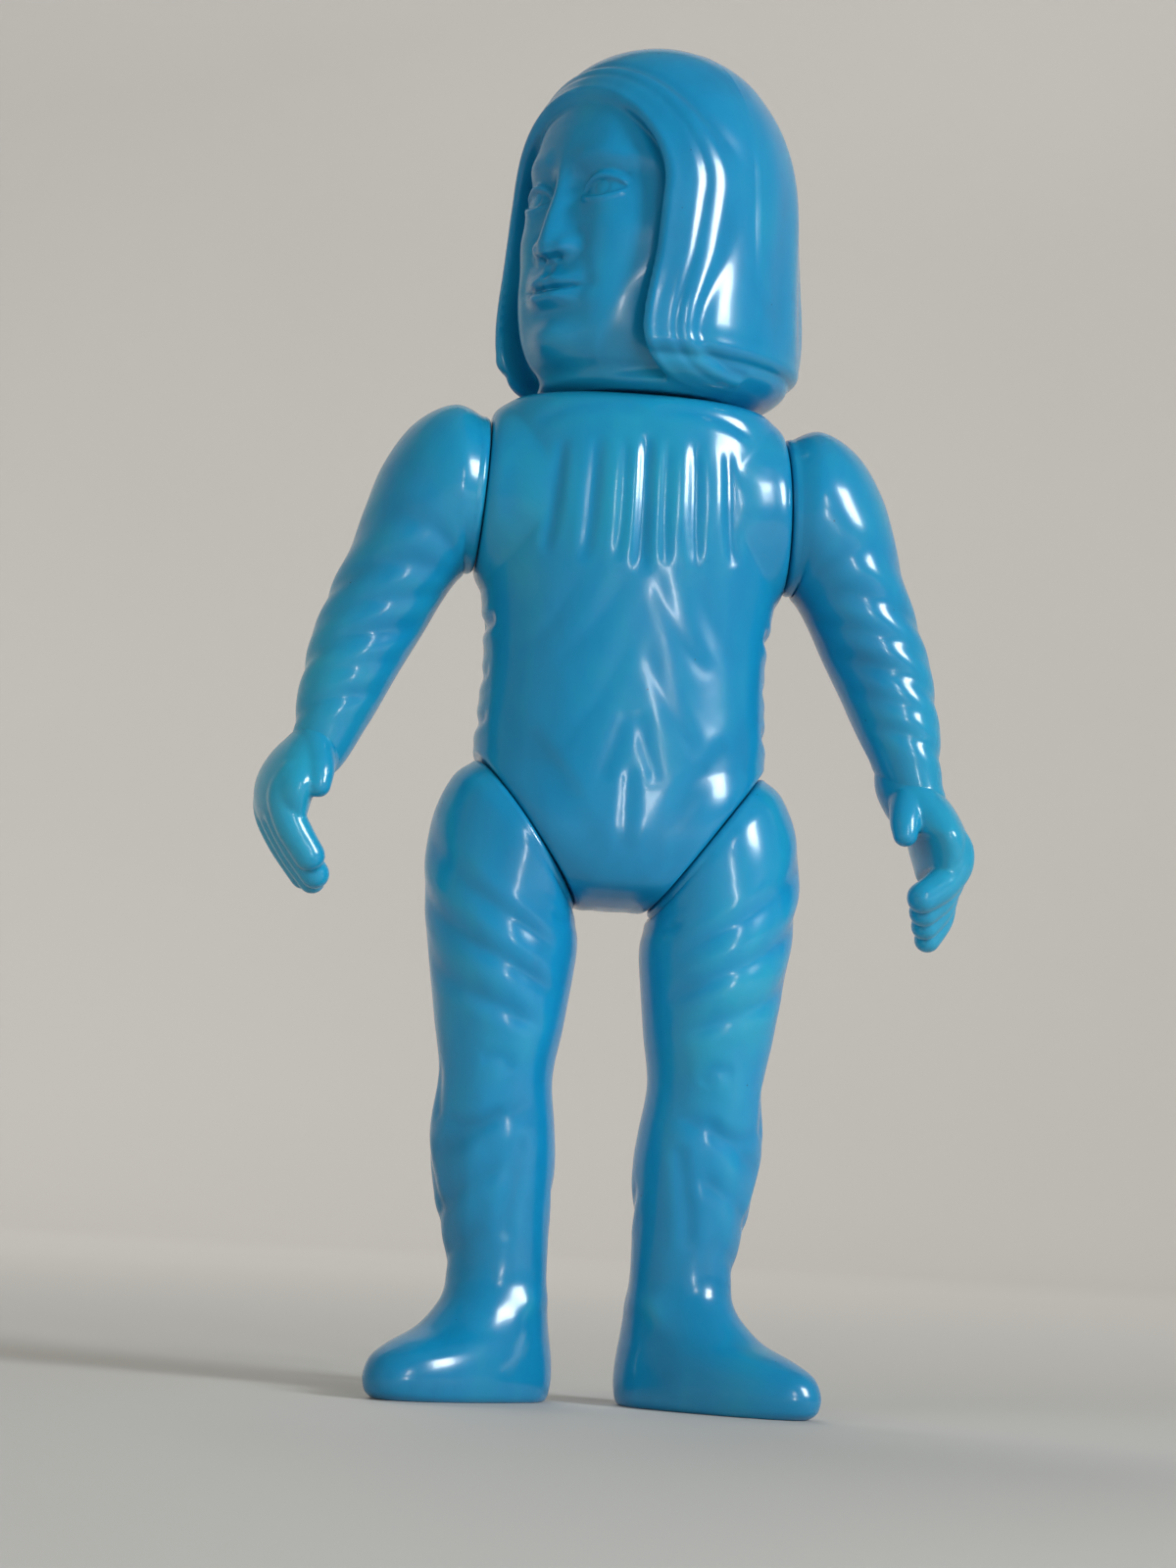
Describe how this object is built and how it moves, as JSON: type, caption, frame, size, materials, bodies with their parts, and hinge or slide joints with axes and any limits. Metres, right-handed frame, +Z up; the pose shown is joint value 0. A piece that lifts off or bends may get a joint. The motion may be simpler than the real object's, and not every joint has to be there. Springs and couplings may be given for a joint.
{
  "type": "vinyl art toy figure",
  "caption": "Standing hooded humanoid figure in hollow glossy soft vinyl, with a head, arms and legs that turn on round push-in joints.",
  "frame": {"origin": "on the ground under the middle of the figure's bounding box", "axes": "+Z up, the figure's body faces -Y, its own left hand is on +X"},
  "size_m": [0.1254, 0.0542, 0.2362],
  "materials": {
    "vinyl": "glossy, slightly translucent soft vinyl of one blue colour, unpainted"
  },
  "bodies": {
    "torso": {"torso": "vinyl"},
    "head": {"head": "vinyl"},
    "right_arm": {"right_arm": "vinyl"},
    "left_arm": {"left_arm": "vinyl"},
    "right_leg": {"right_leg": "vinyl"},
    "left_leg": {"left_leg": "vinyl"}
  },
  "joints": [
    {"name": "neck", "type": "hinge", "parent": "torso", "child": "head", "pos_m": [0, 0, 0.1719], "axis": [0, 0, 1], "continuous": true},
    {"name": "right_shoulder", "type": "hinge", "parent": "torso", "child": "right_arm", "pos_m": [-0.0262, 0, 0.1544], "axis": [-0.9986, 0, 0.0523], "continuous": true},
    {"name": "left_shoulder", "type": "hinge", "parent": "torso", "child": "left_arm", "pos_m": [0.0262, 0, 0.1544], "axis": [-0.9986, 0, -0.0523], "continuous": true},
    {"name": "right_hip", "type": "hinge", "parent": "torso", "child": "right_leg", "pos_m": [-0.01515, 0, 0.0963], "axis": [-0.8039, 0, -0.5948], "range_deg": [-90, 110]},
    {"name": "left_hip", "type": "hinge", "parent": "torso", "child": "left_leg", "pos_m": [0.01515, 0, 0.0963], "axis": [-0.8039, 0, 0.5948], "range_deg": [-90, 110]}
  ]
}
